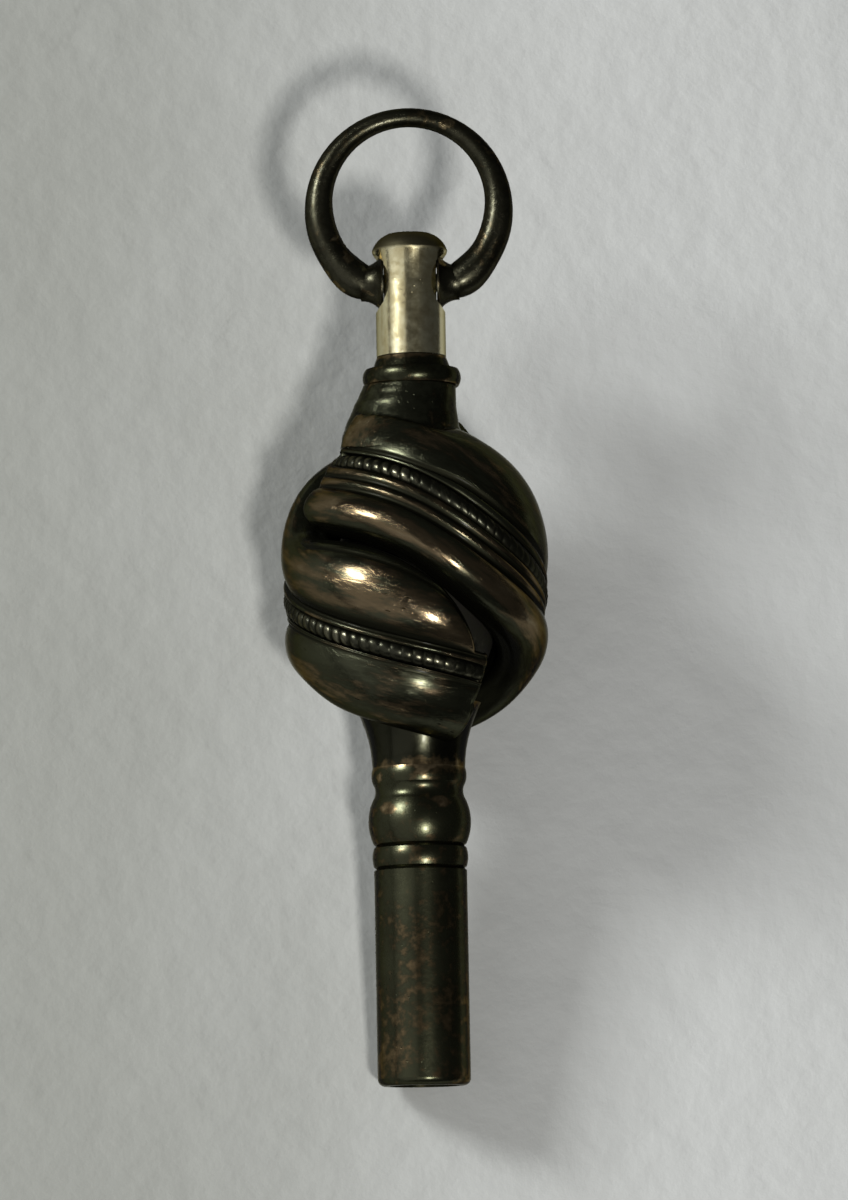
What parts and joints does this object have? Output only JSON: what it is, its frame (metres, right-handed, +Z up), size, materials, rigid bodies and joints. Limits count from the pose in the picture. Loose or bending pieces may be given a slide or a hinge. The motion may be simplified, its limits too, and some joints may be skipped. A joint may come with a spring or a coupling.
{
  "type": "winding key",
  "caption": "Knot-shaped pipe winding key with two twisted bands, milled wires and a round bow that swivels and swings.",
  "frame": {"origin": "centre of the lying key's bounding box, at the level of the table it lies on", "axes": "+Y towards the bow in plan, +Z up; the key's own axis rises by 11.20 degrees towards the bow, and the front of the knot faces up, turned 15 degrees to the left about that axis, as the key rests on its egg-shaped knot"},
  "size_m": [0.0134, 0.0474, 0.0136],
  "materials": {
    "patinated_brass": "dark greenish-brown patina, crests worn to copper brown",
    "milled_brass": "patinated, milled ridges worn bright",
    "polished_brass": "polished, pale yellow",
    "darkened_bow": "blackish-brown, glossy",
    "socket_steel": "dull",
    "dark_filling": "dull, nearly black"
  },
  "bodies": {
    "key": {"pipe_sleeve": "patinated_brass", "square_liner": "socket_steel", "knot_ferrule": "patinated_brass", "key_stem": "socket_steel", "knot_former": "dark_filling", "neck_cap": "patinated_brass", "top_collar": "patinated_brass", "front_band": "patinated_brass", "back_band": "patinated_brass", "front_milled_wire": "milled_brass", "back_milled_wire": "milled_brass"},
    "swivel": {"swivel_post": "polished_brass", "swivel_washer": "polished_brass"},
    "bow": {"bow": "darkened_bow"}
  },
  "joints": [
    {"name": "bow_swivel", "type": "hinge", "parent": "key", "child": "swivel", "pos_m": [0, 0.01514, 0.00976], "axis": [0, 0.981, 0.1942], "continuous": true},
    {"name": "bow_swing", "type": "hinge", "parent": "swivel", "child": "bow", "pos_m": [0, 0.01514, 0.00976], "axis": [0.9659, -0.0503, 0.2539], "range_deg": [-148, 148]}
  ]
}
